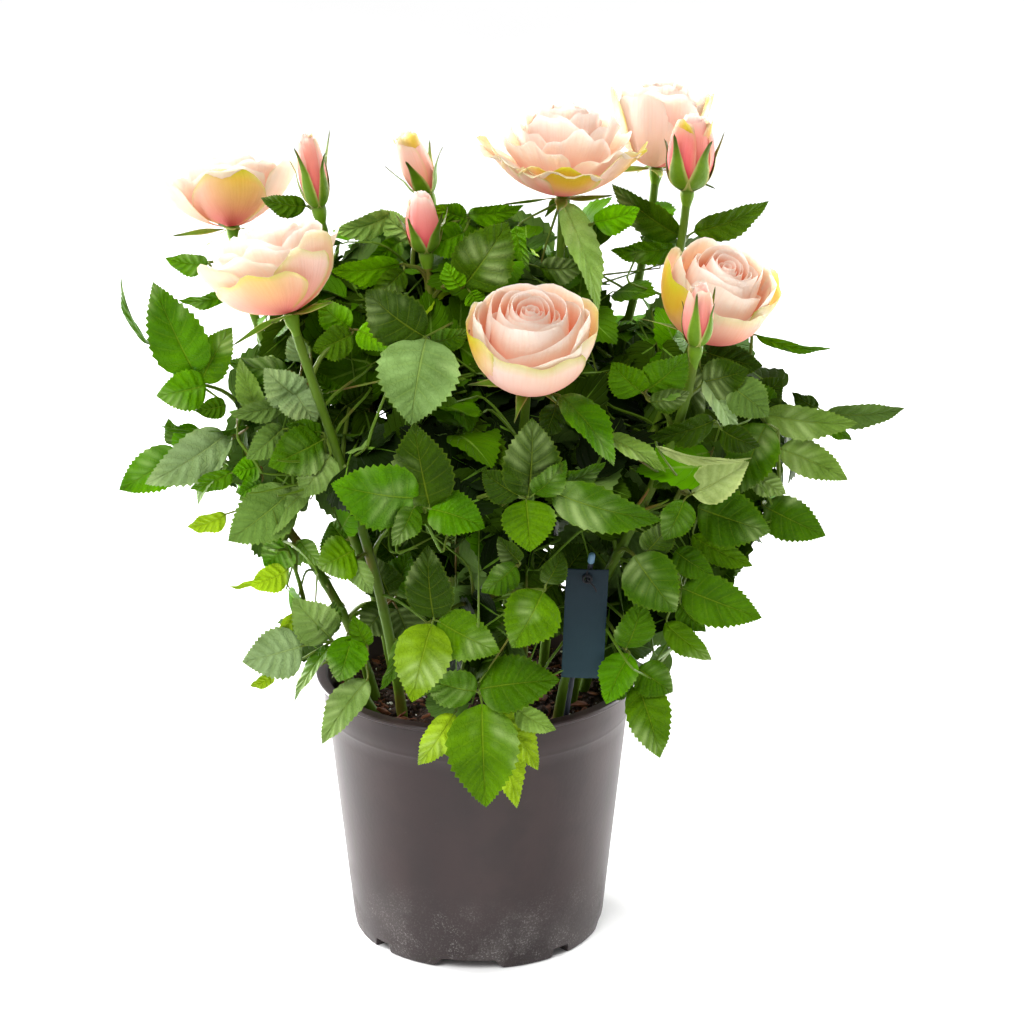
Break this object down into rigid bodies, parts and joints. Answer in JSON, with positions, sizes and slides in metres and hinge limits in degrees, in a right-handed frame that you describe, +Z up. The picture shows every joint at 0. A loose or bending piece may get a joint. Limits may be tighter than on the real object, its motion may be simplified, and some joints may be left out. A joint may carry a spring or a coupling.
{
  "type": "potted rose bush",
  "caption": "Compact rose bush in a round plastic nursery pot, with leafy canes, layered cream and pink blooms, closed buds and a blank plant label on a rod.",
  "frame": {"origin": "centre of the pot's flat underside", "axes": "+Z up, the pot's axis; -Y is the front, where foliage hangs over the rim; +X is the side of the label"},
  "size_m": [0.4, 0.3, 0.436],
  "materials": {
    "pot": "satin",
    "soil": "rough",
    "canes": "satin",
    "foliage": "satin",
    "petals": "matte",
    "buds": "matte",
    "label_card": "satin",
    "label_rod": "satin"
  },
  "bodies": {
    "root": {"bloom_back_left": "petals", "bloom_front": "petals", "bloom_front_left": "petals", "bloom_right": "petals", "bloom_top": "petals", "bloom_top_right": "petals", "bud_back": "buds", "bud_left": "buds", "bud_middle": "buds", "bud_right_front": "buds", "bud_right_top": "buds", "cane_back": "canes", "cane_back_left": "canes", "cane_far_left": "canes", "cane_far_right": "canes", "cane_front": "canes", "cane_front_left": "canes", "cane_left": "canes", "cane_low_back": "canes", "cane_low_left": "canes", "cane_middle": "canes", "cane_right": "canes", "cane_right_front": "canes", "cane_right_top": "canes", "cane_top": "canes", "cane_top_right": "canes", "foliage_back": "foliage", "foliage_back_left": "foliage", "foliage_back_right": "foliage", "foliage_drape": "foliage", "foliage_foot_left": "foliage", "foliage_foot_right": "foliage", "foliage_front": "foliage", "foliage_front_left": "foliage", "foliage_front_right": "foliage", "foliage_left": "foliage", "foliage_low_back": "foliage", "foliage_low_front": "foliage", "foliage_low_left": "foliage", "foliage_low_right": "foliage", "foliage_middle": "foliage", "foliage_right": "foliage", "foliage_upper_left": "foliage", "foliage_upper_middle": "foliage", "foliage_upper_right": "foliage", "label_card": "label_card", "label_rod": "label_rod", "pot": "pot", "soil": "soil", "stem_back": "canes", "stem_back_left": "canes", "stem_front_left": "canes", "stem_left": "canes", "stem_right_front": "canes", "stem_right_top": "canes", "stem_top": "canes", "stem_top_right": "canes"}
  },
  "joints": []
}
